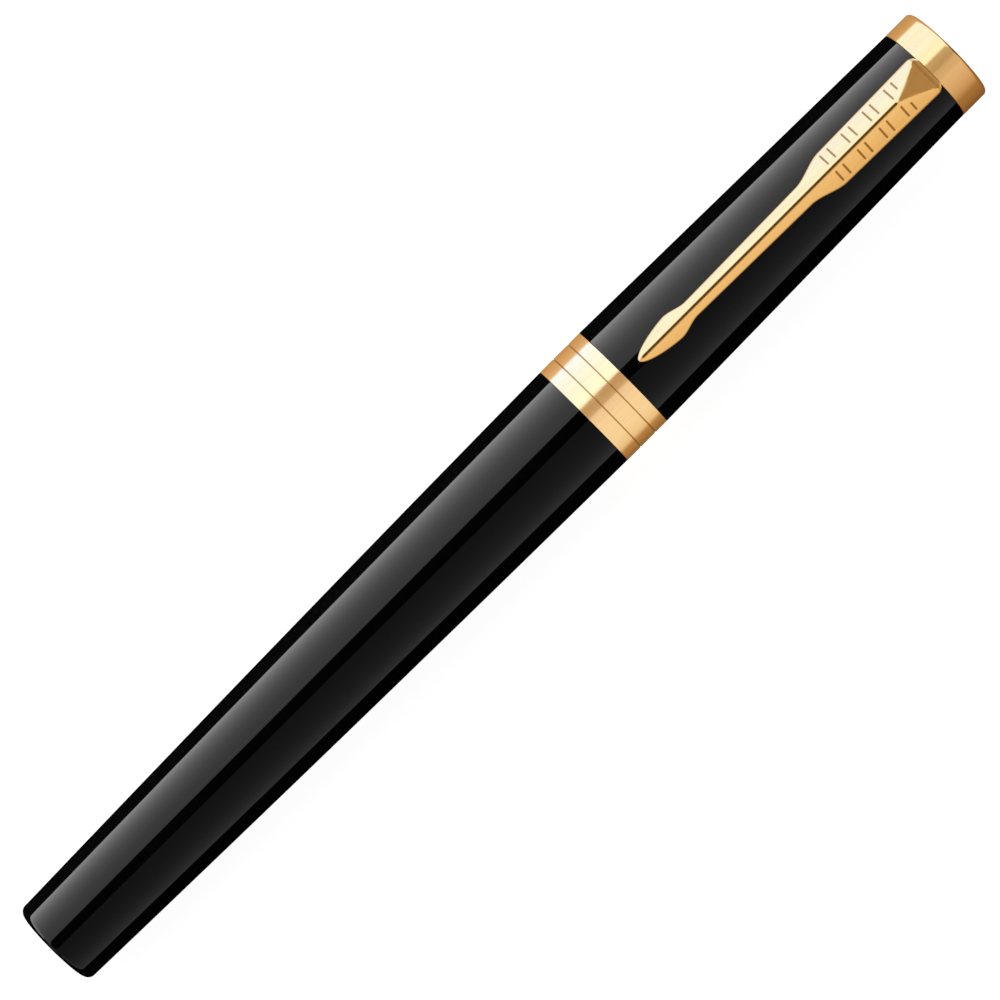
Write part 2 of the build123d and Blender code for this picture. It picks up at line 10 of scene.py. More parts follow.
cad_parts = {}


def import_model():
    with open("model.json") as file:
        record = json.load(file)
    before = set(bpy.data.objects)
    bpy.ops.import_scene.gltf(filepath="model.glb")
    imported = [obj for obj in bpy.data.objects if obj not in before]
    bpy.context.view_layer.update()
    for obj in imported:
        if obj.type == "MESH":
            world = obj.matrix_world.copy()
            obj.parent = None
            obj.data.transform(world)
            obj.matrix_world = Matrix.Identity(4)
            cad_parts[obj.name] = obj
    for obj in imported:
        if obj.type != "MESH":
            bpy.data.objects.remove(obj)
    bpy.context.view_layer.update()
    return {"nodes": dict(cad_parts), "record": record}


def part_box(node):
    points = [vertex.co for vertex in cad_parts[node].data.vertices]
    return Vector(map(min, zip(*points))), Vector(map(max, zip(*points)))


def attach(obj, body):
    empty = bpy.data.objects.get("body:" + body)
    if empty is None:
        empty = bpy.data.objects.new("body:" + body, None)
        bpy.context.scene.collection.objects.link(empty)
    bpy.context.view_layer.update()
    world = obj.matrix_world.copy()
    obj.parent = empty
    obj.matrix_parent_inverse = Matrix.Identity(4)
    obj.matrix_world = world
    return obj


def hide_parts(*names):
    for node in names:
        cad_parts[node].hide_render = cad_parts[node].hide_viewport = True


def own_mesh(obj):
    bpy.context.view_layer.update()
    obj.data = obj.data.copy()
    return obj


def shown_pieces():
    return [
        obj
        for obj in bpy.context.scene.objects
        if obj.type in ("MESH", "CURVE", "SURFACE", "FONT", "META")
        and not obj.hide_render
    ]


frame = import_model()

# Sizes are in millimetres. Places along the pen are distances from the barrel's closed end, and
# heights and radii are measured from the pen's axis.
MM = 0.001
BARREL_END_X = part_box("barrel_tube")[0].x
AXIS_Z = (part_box("barrel_tube")[0].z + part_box("barrel_tube")[1].z) / 2


def span(node):
    """Where a node begins and ends along the pen."""
    low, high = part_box(node)
    return (low.x - BARREL_END_X) / MM, (high.x - BARREL_END_X) / MM


def radius(node):
    """The outer radius of a round node."""
    low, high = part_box(node)
    return (high.y - low.y) / 2 / MM


def place(distance, across, up):
    """A point in the scene from a distance along the pen and a place off its axis."""
    return Vector((BARREL_END_X + distance * MM, across * MM, AXIS_Z + up * MM))


# ---- Meshes ----------------------------------------------------------------------------------

AROUND = 256  # faces round a turned piece
CREASE = radians(32)  # sharper edges than this stay sharp


def finish_mesh(name, bm, body, node, slot, material=None):
    """Makes an object of the mesh, which replaces a CAD node and rides on its body. Its material is
    its slot's own, if no other is named."""
    bmesh.ops.recalc_face_normals(bm, faces=bm.faces)
    mesh = bpy.data.meshes.new(name)
    bm.to_mesh(mesh)
    bm.free()
    mesh.shade_smooth()
    mesh.set_sharp_from_angle(angle=CREASE)
    piece = bpy.data.objects.new(name, mesh)
    bpy.context.scene.collection.objects.link(piece)
    piece.data.materials.append(materials[material or slot])
    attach(piece, body)
    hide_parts(node)
    return piece


def rounded(corners, steps=6):
    """A closed outline with each corner (distance, radius, fillet) rounded by its fillet."""
    points = []
    for index, (x, y, fillet) in enumerate(corners):
        here = Vector((x, y))
        if fillet == 0:
            points.append((x, y))
            continue
        before = Vector(corners[index - 1][:2]) - here
        after = Vector(corners[(index + 1) % len(corners)][:2]) - here
        half = before.angle(after) / 2
        cut = min(fillet / tan(half), before.length / 2, after.length / 2)
        size = cut * tan(half)
        centre = here + (before.normalized() + after.normalized()).normalized() * size / sin(half)
        start = here + before.normalized() * cut - centre
        turn = start.angle_signed(here + after.normalized() * cut - centre)
        for step in range(steps + 1):
            spoke = start.copy()
            spoke.rotate(Matrix.Rotation(-turn * step / steps, 2))
            points.append(tuple(centre + spoke))
    return points


def lathe_mesh(points, around=AROUND):
    """The closed outline of (distance, radius) points turned about the pen's axis."""
    bm = bmesh.new()
    rings = []
    for distance, off in points:
        if off < 1e-6:
            rings.append([bm.verts.new(place(distance, 0, 0))])
            continue
        angles = (2 * pi * step / around for step in range(around))
        rings.append([bm.verts.new(place(distance, off * cos(a), off * sin(a))) for a in angles])
    for ring, following in zip(rings, rings[1:] + rings[:1]):
        if len(ring) == 1 and len(following) == 1:
            continue
        for step in range(around):
            after = (step + 1) % around
            corners = [ring[step % len(ring)], ring[after % len(ring)]]
            corners += [following[after % len(following)], following[step % len(following)]]
            bm.faces.new(list(dict.fromkeys(corners)))
    return bm


def turned(name, body, node, slot, corners, around=AROUND):
    """A turned piece from its outline's corners."""
    return finish_mesh(name, lathe_mesh(rounded(corners), around), body, node, slot)


# ---- Materials -------------------------------------------------------------------------------

GRAIN_LOW, GRAIN_HIGH = 0.3, 0.7  # nearly all of the noise lies between these values
PAINTED_SHADE_TONES = ((0, (1, 1, 1)), (0.5, (0.53, 0.42, 0.27)), (1, (0.155, 0.1, 0.045)))  # painted shade for the cuts, from none to darkest


class Surface:
    """A procedural material: one Principled shader and the textures that feed it."""

    def __init__(self, name, roughness, metallic=0.0, **sockets):
        self.material = bpy.data.materials.new(name)
        self.material.use_nodes = True
        self.tree = self.material.node_tree
        self.shader = self.tree.nodes["Principled BSDF"]
        self.shader.inputs["Roughness"].default_value = roughness
        self.shader.inputs["Metallic"].default_value = metallic
        for socket, value in sockets.items():
            self.shader.inputs[socket.replace("_", " ")].default_value = value
        self.height = None

    def node(self, kind, **values):
        """A node with values for its inputs, by name with _ for a space."""
        made = self.tree.nodes.new(kind)
        for socket, value in values.items():
            made.inputs[socket.replace("_", " ")].default_value = value
        return made

    def grain(self, stretch, detail=4.0):
        """Noise over the object's own coordinates. The stretch says how often it varies in a metre, along
        x, y and z."""
        coordinates = self.tree.nodes.new("ShaderNodeTexCoord")
        mapping = self.node("ShaderNodeMapping", Scale=stretch)
        noise = self.node("ShaderNodeTexNoise", Scale=1.0, Detail=detail, Roughness=0.55)
        self.tree.links.new(coordinates.outputs["Object"], mapping.inputs["Vector"])
        self.tree.links.new(mapping.outputs["Vector"], noise.inputs["Vector"])
        return noise.outputs["Fac"]

    def picked(self, source, stops):
        """The tone that the source picks from the stops, (value, tone) each."""
        ramp = self.tree.nodes.new("ShaderNodeValToRGB")
        while len(ramp.color_ramp.elements) < len(stops):
            ramp.color_ramp.elements.new(0.5)
        for element, (at, tone) in zip(ramp.color_ramp.elements, stops):
            element.position = at
            element.color = (*tone, 1)
        self.tree.links.new(source, ramp.inputs["Fac"])
        return ramp.outputs["Color"]

    def colour(self, grain, dark, light):
        """The base colour varies with the grain between two tones."""
        tone = self.picked(grain, ((GRAIN_LOW, dark), (GRAIN_HIGH, light)))
        self.tree.links.new(tone, self.shader.inputs["Base Color"])

    def roughness(self, grain, low, high):
        """The roughness varies with the grain between two values."""
        spread = self.node("ShaderNodeMapRange", To_Min=low, To_Max=high)
        spread.inputs["From Min"].default_value = GRAIN_LOW
        spread.inputs["From Max"].default_value = GRAIN_HIGH
        self.tree.links.new(grain, spread.inputs["Value"])
        self.tree.links.new(spread.outputs["Result"], self.shader.inputs["Roughness"])

    def tint(self, source, stops):
        """Multiplies the base colour by the tone that the source picks from the stops."""
        mix, ends, result = self.mixer("RGBA")
        mix.blend_type = "MULTIPLY"
        mix.inputs["Factor"].default_value = 1
        target = self.shader.inputs["Base Color"]
        self.tree.links.new(target.links[0].from_socket, ends[0])
        self.tree.links.new(self.picked(source, stops), ends[1])
        self.tree.links.new(result, target)

    def mixer(self, kind):
        """A mix node, its two ends and its result."""
        mix = self.tree.nodes.new("ShaderNodeMix")
        mix.data_type = kind
        ends = [end for end in mix.inputs if end.enabled and end.name in "AB"]
        return mix, ends, next(out for out in mix.outputs if out.enabled)

    def over(self, mask, socket, value):
        """Where the mask is 1, the value takes the place of what already feeds the socket."""
        mix, ends, result = self.mixer("FLOAT")
        target = self.shader.inputs[socket]
        self.tree.links.new(mask, mix.inputs["Factor"])
        self.tree.links.new(target.links[0].from_socket, ends[0])
        ends[1].default_value = value
        self.tree.links.new(result, target)

    def bump(self, source, depth):
        """Adds relief of a depth in millimetres, on top of any relief already there."""
        bump = self.node("ShaderNodeBump", Strength=1.0, Distance=depth * MM)
        self.tree.links.new(source, bump.inputs["Height"])
        if self.height:
            self.tree.links.new(self.height, bump.inputs["Normal"])
        self.height = bump.outputs["Normal"]
        self.tree.links.new(self.height, self.shader.inputs["Normal"])


def black_lacquer():
    """Deep black lacquer: a faint swell in the polish and fine hairlines along the pen."""
    surface = Surface("black_lacquer", 0.04, IOR=1.5)
    surface.colour(surface.grain((900, 900, 900)), (0.0012, 0.0012, 0.0014), (0.0022, 0.0021, 0.0021))
    surface.roughness(surface.grain((90, 2600, 2600), detail=3), 0.03, 0.055)
    surface.bump(surface.grain((260, 420, 420), detail=1), 0.0006)
    return surface.material


def gold(name, dark, light):
    """Polished gilt with faint streaks along the pen and small patches of softer polish. Its cuts, where a
    mesh marks them, are painted dark brown as shade and made rougher."""
    surface = Surface(name, 0.14, metallic=1.0)
    streaks = surface.grain((40, 2400, 2400), detail=3)
    surface.colour(streaks, dark, light)
    surface.roughness(surface.grain((500, 1500, 1500)), 0.1, 0.17)
    surface.bump(streaks, 0.0008)
    surface.bump(surface.grain((9000, 9000, 9000), detail=2), 0.0002)
    # Painted shade: where a mesh marks its cuts, the gilt is darkened brown and made rougher, as the shade
    # in them
    painted_shade = surface.tree.nodes.new("ShaderNodeAttribute")
    painted_shade.attribute_name = "painted_shade"
    surface.tint(painted_shade.outputs["Fac"], PAINTED_SHADE_TONES)
    surface.over(painted_shade.outputs["Fac"], "Roughness", 0.5)
    return surface.material


def gold_plate():
    return gold("gold_plate", (0.92, 0.6, 0.28), (0.96, 0.65, 0.31))


def clip_gold():
    """The clip's gilt is a little deeper."""
    return gold("clip_gold", (0.87, 0.52, 0.19), (0.92, 0.56, 0.21))


def brass():
    """Turned brass with the tool's fine rings round it."""
    surface = Surface("brass", 0.28, metallic=1.0)
    rings = surface.grain((9000, 60, 60), detail=2)
    surface.colour(rings, (0.62, 0.44, 0.18), (0.80, 0.60, 0.29))
    surface.roughness(surface.grain((700, 700, 700)), 0.22, 0.36)
    surface.bump(rings, 0.004)
    return surface.material


def black_resin():
    """Black moulded resin with a satin skin."""
    surface = Surface("black_resin", 0.25, IOR=1.5)
    surface.colour(surface.grain((1200, 1200, 1200)), (0.0035, 0.0035, 0.004), (0.007, 0.007, 0.0072))
    surface.roughness(surface.grain((1600, 1600, 1600)), 0.2, 0.28)
    surface.bump(surface.grain((7000, 7000, 7000), detail=2), 0.0004)
    return surface.material


def inner_plastic():
    """Dull grey-black plastic with a moulded texture."""
    surface = Surface("inner_plastic", 0.5, IOR=1.46)
    surface.colour(surface.grain((900, 900, 900)), (0.03, 0.03, 0.033), (0.045, 0.045, 0.048))
    surface.roughness(surface.grain((3000, 3000, 3000)), 0.42, 0.6)
    surface.bump(surface.grain((5000, 5000, 5000), detail=2), 0.004)
    return surface.material


def steel():
    """Bright drawn steel with marks along its length."""
    surface = Surface("steel", 0.2, metallic=1.0)
    drawn = surface.grain((150, 5000, 5000), detail=3)
    surface.colour(drawn, (0.50, 0.50, 0.51), (0.66, 0.66, 0.67))
    surface.roughness(surface.grain((2000, 2000, 2000)), 0.14, 0.28)
    surface.bump(drawn, 0.0015)
    return surface.material


def carbide():
    """Finely ground grey carbide, wet with black ink in places."""
    surface = Surface("carbide", 0.2, metallic=1.0)
    surface.colour(surface.grain((5000, 5000, 5000)), (0.10, 0.10, 0.11), (0.42, 0.42, 0.44))
    surface.roughness(surface.grain((9000, 9000, 9000)), 0.12, 0.3)
    surface.bump(surface.grain((20000, 20000, 20000), detail=2), 0.0004)
    return surface.material


def soft_seal():
    """Matte black elastomer."""
    surface = Surface("soft_seal", 0.75, IOR=1.45)
    surface.colour(surface.grain((1500, 1500, 1500)), (0.012, 0.012, 0.012), (0.022, 0.022, 0.022))
    surface.roughness(surface.grain((4000, 4000, 4000)), 0.65, 0.85)
    surface.bump(surface.grain((6000, 6000, 6000), detail=3), 0.006)
    return surface.material


def refill_shell():
    """Light grey lacquered tube with a faint drawn grain."""
    surface = Surface("refill_shell", 0.22, IOR=1.5)
    surface.colour(surface.grain((200, 900, 900)), (0.50, 0.52, 0.55), (0.60, 0.62, 0.65))
    surface.roughness(surface.grain((300, 2500, 2500)), 0.18, 0.3)
    surface.bump(surface.grain((200, 3000, 3000), detail=2), 0.0015)
    return surface.material


def refill_plastic():
    """Black glossy plastic of the refill's ends."""
    surface = Surface("refill_plastic", 0.18, IOR=1.5)
    surface.colour(surface.grain((1500, 1500, 1500)), (0.008, 0.008, 0.009), (0.014, 0.014, 0.015))
    surface.roughness(surface.grain((2500, 2500, 2500)), 0.14, 0.26)
    surface.bump(surface.grain((5000, 5000, 5000), detail=2), 0.002)
    return surface.material


def ink_fibre():
    """Fibres along the refill, soaked with black ink."""
    surface = Surface("ink_fibre", 0.7)
    fibres = surface.grain((300, 9000, 9000), detail=3)
    surface.colour(fibres, (0.006, 0.006, 0.01), (0.03, 0.03, 0.045))
    surface.roughness(fibres, 0.5, 0.85)
    surface.bump(fibres, 0.02)
    return surface.material


materials = {
    "black_lacquer": black_lacquer(),
    "gold_plate": gold_plate(),
    "clip_gold": clip_gold(),
    "brass": brass(),
    "black_resin": black_resin(),
    "inner_plastic": inner_plastic(),
    "steel": steel(),
    "carbide": carbide(),
    "soft_seal": soft_seal(),
    "refill_shell": refill_shell(),
    "refill_plastic": refill_plastic(),
    "ink_fibre": ink_fibre(),
}
# The CAD nodes that stay take the material of their slot
for part in frame["record"]["subparts"]:
    node = frame["nodes"][part["node"]]
    node.data.materials.clear()
    node.data.materials.append(materials[part["material_slot"]])

# ---- Barrel and cap --------------------------------------------------------------------------

BARREL_CORNER = 1.0
BARREL_END_R = 5.36
BARREL_SWELL = 0.147  # how far the middle of the barrel's side stands out from a straight taper
BARREL_WALL = 0.6
BARREL_FLOOR = 1.5
BUSH_LEDGE = 0.2  # how far the tube stands in behind its bush
CAP_BORE = 5.95
CAP_TOP_BORE = 5.45
CAP_NECK_R = 6.4  # under the band
CAP_TOP_R = 6.045
CLEAR = 0.02  # a gap between faces that would otherwise lie in each other
EDGE = 0.06  # the small rounding of a mouth
HAIR = 0.03  # and of finer edges
MOUTH_CLOSE = 0.1  # how far the band reaches past its node, to meet the barrel
BAND_GROOVES = (1.94, 4.19)  # distances of the two fine grooves from the band's lower edge
# How dark the painted shade in the band's two grooves is
GROOVE_SHADE = 0.45
FOOT_FROM, FOOT_TO = 131.2, 132.8  # the clip's foot, which goes through the cap's tube
FOOT_LOW, FOOT_HIGH = 3.3, 6.5
FOOT_HALF = 1.3
FOOT_PLAY = 0.3


def barrel_shell():
    """The barrel: a closed, rounded end and a side that swells gently between its two ends."""
    start, end = span("barrel_tube")
    mouth = radius("barrel_tube")
    bush_from = span("thread_bush")[0]
    side = []
    stations = 60
    for step in range(stations):
        share = (step + 0.5) / stations
        swell = BARREL_SWELL * 4 * share * (1 - share)
        distance = start + BARREL_CORNER + share * (end - start - BARREL_CORNER)
        side.append((distance, BARREL_END_R + share * (mouth - BARREL_END_R) + swell, 0))
    bush = radius("thread_bush") + CLEAR
    inside = [(end, bush, EDGE), (bush_from, bush, 0), (bush_from, bush - BUSH_LEDGE, 0)]
    inside += [(start + BARREL_FLOOR, BARREL_END_R - BARREL_WALL, 0), (start + BARREL_FLOOR, 0, 0)]
    corners = [(start, 0, 0), (start, BARREL_END_R - CLEAR, BARREL_CORNER)]
    corners += side + [(end, mouth, HAIR)] + inside
    return turned("barrel_shell", "barrel", "barrel_tube", "black_lacquer", corners)


def box_mesh(low, high):
    """A plain block between two corners, each (distance, across, up)."""
    bm = bmesh.new()
    bmesh.ops.create_cube(bm, size=1)
    for vert in bm.verts:
        corner = [b if side > 0 else a for a, b, side in zip(low, high, vert.co)]
        vert.co = place(*corner)
    return bm


def cut(piece, tool):
    """Takes the tool's shape out of the piece."""
    mesh = bpy.data.meshes.new("tool")
    tool.to_mesh(mesh)
    tool.free()
    cutter = bpy.data.objects.new("tool", mesh)
    bpy.context.scene.collection.objects.link(cutter)
    modifier = piece.modifiers.new("cut", "BOOLEAN")
    modifier.object = cutter
    modifier.solver = "EXACT"
    bpy.context.view_layer.update()
    result = bpy.data.meshes.new_from_object(piece.evaluated_get(bpy.context.evaluated_depsgraph_get()))
    piece.modifiers.clear()
    piece.data = result
    result.set_sharp_from_angle(angle=CREASE)
    bpy.data.objects.remove(cutter)


def cap_shell():
    """The cap's tube, with the slot that the clip's foot goes through."""
    start, end = span("cap_tube")
    band_end = span("cap_band")[1] + CLEAR
    narrows_from, narrows_to = 112.0, 118.0
    corners = [
        (start, CAP_BORE, EDGE),
        (start, CAP_NECK_R, EDGE),
        (band_end, CAP_NECK_R, 0),
        (band_end, radius("cap_tube"), EDGE),
        (end, CAP_TOP_R, EDGE),
        (end, CAP_TOP_BORE, HAIR),
        (narrows_to, CAP_TOP_BORE, 0),
        (narrows_from, CAP_BORE, 0),
    ]
    shell = turned("cap_shell", "cap", "cap_tube", "black_lacquer", corners)
    slot_from, slot_to = FOOT_FROM - FOOT_PLAY, FOOT_TO + FOOT_PLAY
    slot_half = FOOT_HALF + FOOT_PLAY
    below_wall, above_wall = 3.0, 8.0
    cut(shell, box_mesh((slot_from, -slot_half, below_wall), (slot_to, slot_half, above_wall)))
    return shell


def band_ring():
    """The gilt band with its two fine grooves and softened edges. It closes up to the barrel."""
    start, end = span("cap_band")
    outer = radius("cap_band")
    inner, depth, groove_half = 6.42, 0.09, 0.08
    corners = [(start - MOUTH_CLOSE, inner, 0), (start - MOUTH_CLOSE, outer, HAIR)]
    for groove in BAND_GROOVES:
        middle = start + groove
        corners.append((middle - groove_half, outer, HAIR))
        corners.append((middle - groove_half / 2, outer - depth, HAIR))
        corners.append((middle + groove_half / 2, outer - depth, HAIR))
        corners.append((middle + groove_half, outer, HAIR))
    corners += [(end, outer, EDGE), (end, inner, HAIR)]
    ring = turned("band_ring", "cap", "cap_band", "gold_plate", corners)
    # Painted shade: the bottoms of the two grooves are marked to be darkened
    painted_shade = ring.data.attributes.new("painted_shade", "FLOAT", "POINT")
    for vert, mark in zip(ring.data.vertices, painted_shade.data):
        distance = (vert.co.x - BARREL_END_X) / MM - start
        off = hypot(vert.co.y, vert.co.z - AXIS_Z) / MM
        in_groove = min(abs(distance - groove) for groove in BAND_GROOVES) < groove_half
        mark.value = GROOVE_SHADE if in_groove and off < outer - depth / 2 else 0
    return ring


def crown_cap():
    """The gilt crown with a rounded rim round the seat of its inlay."""
    start, end = span("crown")
    outer = radius("crown")
    collar = span("cap_tube")[1] + CLEAR
    seat = end - 0.5
    plug, rim, bore, bore_end = 5.43, 4.62, 1.5, 136.6
    corners = [
        (start, bore, 0),
        (start, plug, HAIR),
        (collar, plug, 0),
        (collar, outer, 0.1),
        (end, outer, 0.55),
        (end, rim, 0.12),
        (seat, rim, 0),
        (seat, 0, 0),
        (bore_end, 0, 0),
        (bore_end, bore, 0),
    ]
    return turned("crown_cap", "cap", "crown", "gold_plate", corners)


def crown_inlay():
    """The black inlay, very slightly domed."""
    start, end = span("crown_disc")
    outer = radius("crown_disc")
    sunk = 0.12  # how much lower the dome is at its edge
    dome = [(end - sunk * (step / 8) ** 2, outer * step / 8, 0) for step in range(8)]
    corners = dome + [(end - sunk, outer, 0.08), (start, outer, 0), (start, 0, 0)]
    return turned("crown_inlay", "cap", "crown_disc", "black_lacquer", corners)


barrel_shell()
cap_shell()
band_ring()
crown_cap()
crown_inlay()

# ---- Section and refill ----------------------------------------------------------------------


def trim_ring():
    """The gilt ring between the barrel and the grip."""
    start, end = span("section_trim_ring")
    outer, bore = radius("section_trim_ring"), 4.52
    corners = [(start, bore, 0), (start, outer, 0.2), (end, outer, 0.2), (end, bore, 0)]
    return turned("trim_ring", "section", "section_trim_ring", "gold_plate", corners)


def grip():
    """The grip, with the snap ring's groove and twelve soft finger grooves round its taper."""
    start, end = span("section_grip")
    shoulder, rear, front = 88.0, radius("section_grip"), 4.4
    bed_from, bed_to, bed = 85.0, 86.2, 4.9  # the snap ring's groove
    first, pitch, depth = 91.0, 1.2, 0.14  # the finger grooves
    coupler_bore, refill_bore, neck_bore, nose_bore = 4.12, 3.35, 2.25, 3.42
    coupler_to, refill_to, neck_to = 90.0, 98.35, 106.5
    corners = [(start, coupler_bore, 0), (start, rear, 0.08)]
    corners += [(bed_from, rear, EDGE), (bed_from, bed, EDGE), (bed_to, bed, EDGE), (bed_to, rear, EDGE)]
    corners.append((shoulder, rear, 1.2))
    for index in range(12):
        for along, down, fillet in ((0, 0, 0.08), (0.1, depth, 0.1), (0.3, depth, 0.1), (0.4, 0, 0.08)):
            distance = first + pitch * index + along
            outside = rear + (front - rear) * (distance - shoulder) / (end - shoulder)
            corners.append((distance, outside - down, fillet))
    corners += [(end, front, EDGE), (end, nose_bore, 0), (neck_to, nose_bore, 0), (neck_to, neck_bore, 0)]
    corners += [(refill_to, neck_bore, 0), (refill_to, refill_bore, 0)]
    corners += [(coupler_to, refill_bore, 0), (coupler_to, coupler_bore, 0)]
    return turned("grip", "section", "section_grip", "black_resin", corners)


def front_ring():
    """The thin gilt ring in front of the grip."""
    start, end = span("section_front_ring")
    outer, bore = radius("section_front_ring"), 3.42
    corners = [(start, bore, 0), (start, outer, 0.15), (end, outer, 0.15), (end, bore, 0)]
    return turned("front_ring", "section", "section_front_ring", "gold_plate", corners)


def nose():
    """The gilt nose cone, very slightly full in its middle."""
    start, end = span("section_nose")
    rear, wide, narrow = 110.3, 4.25, 1.75
    spigot, spigot_bore, bore, mouth = 3.4, 2.1, 1.6, 1.3
    bore_from, mouth_from = 110.05, 115.0
    side = []
    for step in range(1, 12):
        share = step / 12
        fullness = 0.1 * 4 * share * (1 - share)
        side.append((rear + share * (end - rear), wide + share * (narrow - wide) + fullness, 0))
    corners = [(start, spigot_bore, 0), (start, spigot, 0.1), (rear, spigot, 0), (rear, wide, EDGE)]
    corners += side + [(end, narrow, 0.12), (end, mouth, EDGE), (mouth_from, mouth, 0)]
    corners += [(mouth_from, bore, 0), (bore_from, bore, 0), (bore_from, spigot_bore, 0)]
    return turned("nose", "section", "section_nose", "gold_plate", corners)


def tube_mesh(bm, path, thickness, sides=16):
    """A closed round tube of that thickness along a path of (distance, across, up) points."""
    centres = [place(*point) for point in path]
    rings = []
    for index, centre in enumerate(centres):
        forward = centres[min(index + 1, len(centres) - 1)] - centres[max(index - 1, 0)]
        outward = centre - Vector((centre.x, 0, AXIS_Z))
        side = forward.cross(outward).normalized()
        up = side.cross(forward).normalized()
        ring = []
        for step in range(sides):
            angle = 2 * pi * step / sides
            reach = up * cos(angle) + side * sin(angle)
            ring.append(bm.verts.new(centre + reach * thickness / 2 * MM))
        rings.append(ring)
    for ring, following in zip(rings, rings[1:]):
        for step in range(sides):
            after = (step + 1) % sides
            bm.faces.new((ring[step], ring[after], following[after], following[step]))
    bm.faces.new(rings[0])
    bm.faces.new(rings[-1])


def thread_mesh(bm, start, end, pitch, root, crest, run_in=0.7):
    """A thread's ridge wound on a core. It rises out of the core at its start and sinks at its end."""
    per_turn = 96
    steps = round((end - start) / pitch * per_turn)
    profile = ((-0.42, 0), (-0.1, 1), (0.1, 1), (0.42, 0))  # shares of the pitch and of the height
    sunk = root - 0.03  # the ridge's foot is inside the core
    rows = []
    for step in range(steps + 1):
        turns = step / per_turn
        fade = min(1, turns / run_in, (steps - step) / per_turn / run_in)
        row = []
        for along, height in profile:
            off = sunk + height * (crest - sunk) * fade
            distance = start + pitch * (turns + along)
            row.append(bm.verts.new(place(distance, off * cos(2 * pi * turns), off * sin(2 * pi * turns))))
        rows.append(row)
    for row, following in zip(rows, rows[1:]):
        for step in range(len(profile)):
            after = (step + 1) % len(profile)
            bm.faces.new((row[step], row[after], following[after], following[step]))
    bm.faces.new(rows[0])
    bm.faces.new(rows[-1])


def coupler():
    """The brass coupler with a real helical thread on its rear half."""
    start, end = span("section_coupler")
    crest = radius("section_coupler")
    core, neck, bore, neck_from = 4.5, 4.1, 3.35, 82.9
    thread_from, thread_to, pitch = start + 1.2, 79.8, 0.8
    corners = [(start, bore, 0.1), (start, core, 0.3), (neck_from, core, EDGE)]
    corners += [(neck_from, neck, 0), (end, neck, 0.1), (end, bore, 0.1)]
    bm = lathe_mesh(rounded(corners))
    thread_mesh(bm, thread_from, thread_to, pitch, core, crest)
    return finish_mesh("coupler", bm, "section", "section_coupler", "brass")


def spring():
    """The coil spring, with a closed turn at each end."""
    start, end = span("refill_spring")
    wire, pressed = 0.5, 1.2
    coil = radius("refill_spring") - wire / 2
    turns, closed, per_turn = 5.5, 1.0, 40
    travel = end - start - wire
    open_pitch = (travel - 2 * closed * wire) / (turns - 2 * closed)
    path = []
    for step in range(round(turns * per_turn) + 1):
        turn = step / per_turn
        wound = min(turn, closed) + max(0, turn - (turns - closed))
        along = start + wire / 2 + wound * wire + (turn - wound) * open_pitch
        path.append((along, coil * cos(2 * pi * turn), coil * sin(2 * pi * turn)))
    bm = bmesh.new()
    tube_mesh(bm, path, wire)
    made = finish_mesh("spring", bm, "barrel", "refill_spring", "steel")
    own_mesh(made)
    return made


def refill_body():
    """The refill's tube, with the crimp that holds its front."""
    start, end = span("refill_tube")
    outer, bore, crimp = radius("refill_tube"), 2.65, end - 1.6
    pinched = outer - 0.12
    corners = [(start, bore, 0), (start, outer, 0.05), (crimp - 0.35, outer, 0.2)]
    corners += [(crimp - 0.1, pinched, 0.1), (crimp + 0.1, pinched, 0.1), (crimp + 0.35, outer, 0.2)]
    corners += [(end, outer, 0.05), (end, bore, 0)]
    return turned("refill_body", "refill", "refill_tube", "refill_shell", corners)


def refill_back():
    """The plug in the refill's rear end."""
    start, end = span("refill_plug")
    outer, plug = radius("refill_plug"), 2.63
    face, head = start + 0.15, start + 0.8
    corners = [(start, 0, 0), (start, 0.9, 0.1), (face, 1.1, 0.1), (face, outer, 0.25)]
    corners += [(head, outer, 0.05), (head, plug, 0), (end, plug, 0.2), (end, 0, 0)]
    return turned("refill_back", "refill", "refill_plug", "refill_plastic", corners)


def refill_front():
    """The refill's stepped plastic front, with softened shoulders."""
    start, end = span("refill_nose")
    outer, plug, neck, tip = radius("refill_nose"), 2.63, 2.05, 1.55
    wick_bore, point_bore = 0.72, 1.17
    collar_from, collar_to, tip_from, point_from = 97.4, 98.3, 110.0, 111.98
    corners = [(start, wick_bore, 0), (start, plug, 0), (collar_from, plug, 0), (collar_from, outer, 0.1)]
    corners += [(collar_to, outer, 0.15), (collar_to, neck, 0.1), (tip_from, neck, 0.15)]
    corners += [(tip_from, tip, 0.1), (end, tip, 0.15), (end, point_bore, 0)]
    corners += [(point_from, point_bore, 0), (point_from, wick_bore, 0)]
    return turned("refill_front", "refill", "refill_nose", "refill_plastic", corners)


def refill_point():
    """The steel point: a stepped cone whose lip is rolled in over the ball."""
    start, end = span("refill_tip")
    ball_x = sum(span("writing_ball")) / 2
    shank, wick_bore, ink_bore = 1.15, 0.72, 0.3
    wick_to, shoulder, step = 113.05, 116.9, 117.7
    corners = [(start, wick_bore, 0), (start, shank, 0.05), (shoulder, shank, 0.1), (step, 0.86, 0.05)]
    corners += [(step + 0.05, 0.8, 0.05), (end - 0.25, 0.46, 0.1), (end, 0.38, 0.02)]
    corners += [(ball_x, ink_bore, 0), (wick_to, ink_bore, 0), (wick_to, wick_bore, 0)]
    return turned("refill_point", "refill", "refill_tip", "steel", corners, around=128)


def ball():
    """The writing ball."""
    start, end = span("writing_ball")
    size = (end - start) / 2
    angles = [pi * step / 32 for step in range(33)]
    points = [(start + size * (1 - cos(angle)), size * sin(angle)) for angle in angles]
    return finish_mesh("ball", lathe_mesh(points, 64), "ball", "writing_ball", "carbide")


trim_ring()
grip()
front_ring()
nose()
coupler()
spring()
refill_body()
refill_back()
refill_front()
refill_point()
ball()

# ---- Pocket clip -----------------------------------------------------------------------------

